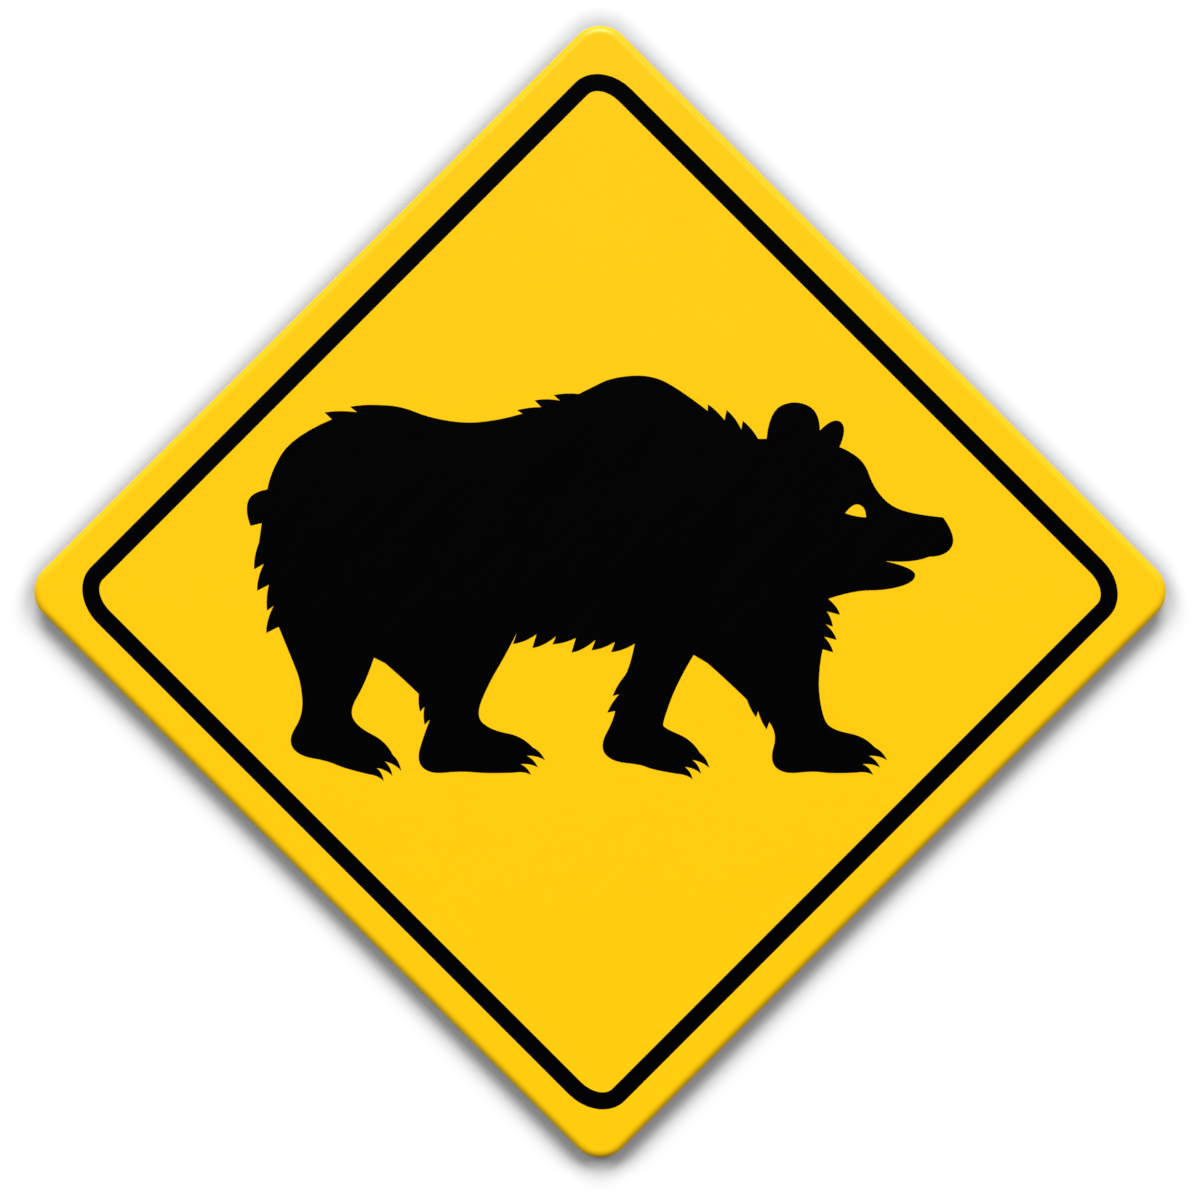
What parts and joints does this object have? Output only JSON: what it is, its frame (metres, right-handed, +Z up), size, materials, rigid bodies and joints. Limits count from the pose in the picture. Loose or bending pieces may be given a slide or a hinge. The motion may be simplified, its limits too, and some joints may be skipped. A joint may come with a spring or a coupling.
{
  "type": "novelty crossing sign",
  "caption": "Yellow diamond crossing sign in sheet aluminium with rounded corners and rolled front edges, printed with a black border line and a walking bear; its flat back fixes to a wall.",
  "frame": {"origin": "centre of the flat back face", "axes": "+Y out of the back face towards the wall, the printed face looks along -Y, +Z up through the diamond's top corner, +X to the right of someone who reads the sign"},
  "size_m": [0.4214, 0.0021, 0.4214],
  "materials": {
    "yellow_coat": "satin",
    "black_print": "satin"
  },
  "bodies": {
    "root": {"sign_plate": "yellow_coat", "border_print": "black_print", "figure_print": "black_print"}
  },
  "joints": []
}
